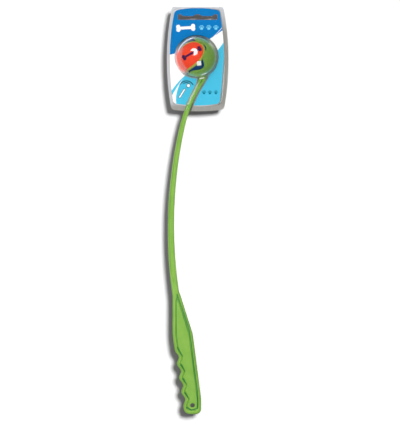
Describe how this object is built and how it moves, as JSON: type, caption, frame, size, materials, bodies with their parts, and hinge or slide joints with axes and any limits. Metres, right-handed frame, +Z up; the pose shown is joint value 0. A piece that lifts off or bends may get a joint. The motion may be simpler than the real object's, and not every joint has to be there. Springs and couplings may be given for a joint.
{
  "type": "dog ball thrower",
  "caption": "Green moulded dog ball thrower with a claw cup, curved arm and finger grip, its ball held in a clear hanging pack with a printed card.",
  "frame": {"origin": "the centre of the hang slot, in the middle of the card's thickness", "axes": "+Z is up, the pack's front with the ball's red panel faces -Y, and +X is to the viewer's right"},
  "size_m": [0.1084, 0.0746, 0.7147],
  "materials": {
    "launcher_green": "satin moulded green plastic",
    "core_rubber": "plain dark rubber",
    "felt_red": "napped red-orange felt",
    "felt_navy": "napped navy felt",
    "seam_yellow": "dull yellow-green rubber seam",
    "clear_shell": "clear thermoformed plastic sheet",
    "card_print": "coated card printed in blue, white and cyan"
  },
  "bodies": {
    "rear_pack": {"rear_shell": "clear_shell", "insert_card": "card_print", "fold_hinge": "clear_shell"},
    "lid": {"front_shell": "clear_shell"},
    "launcher": {"launcher": "launcher_green"},
    "ball": {"ball_core_half_upper": "core_rubber", "ball_core_half_lower": "core_rubber", "ball_felt_red": "felt_red", "ball_felt_navy": "felt_navy", "ball_seam": "seam_yellow"}
  },
  "joints": [
    {"name": "lid_hinge", "type": "hinge", "parent": "rear_pack", "child": "lid", "pos_m": [0, 0, 0.0183], "axis": [-1, 0, 0], "range_deg": [0, 180]},
    {"name": "launcher_out", "type": "slide", "parent": "rear_pack", "child": "launcher", "axis": [0, -1, 0], "range_m": [0, 0.136]},
    {"name": "ball_out", "type": "slide", "parent": "launcher", "child": "ball", "axis": [-0.988, 0, 0.1547], "range_m": [0, 0.063]}
  ],
  "couplings": [
    {"joint": "launcher_out", "follows": "lid_hinge", "m_per_rad": 0.043},
    {"joint": "ball_out", "follows": "lid_hinge", "m_per_rad": 0.02}
  ]
}
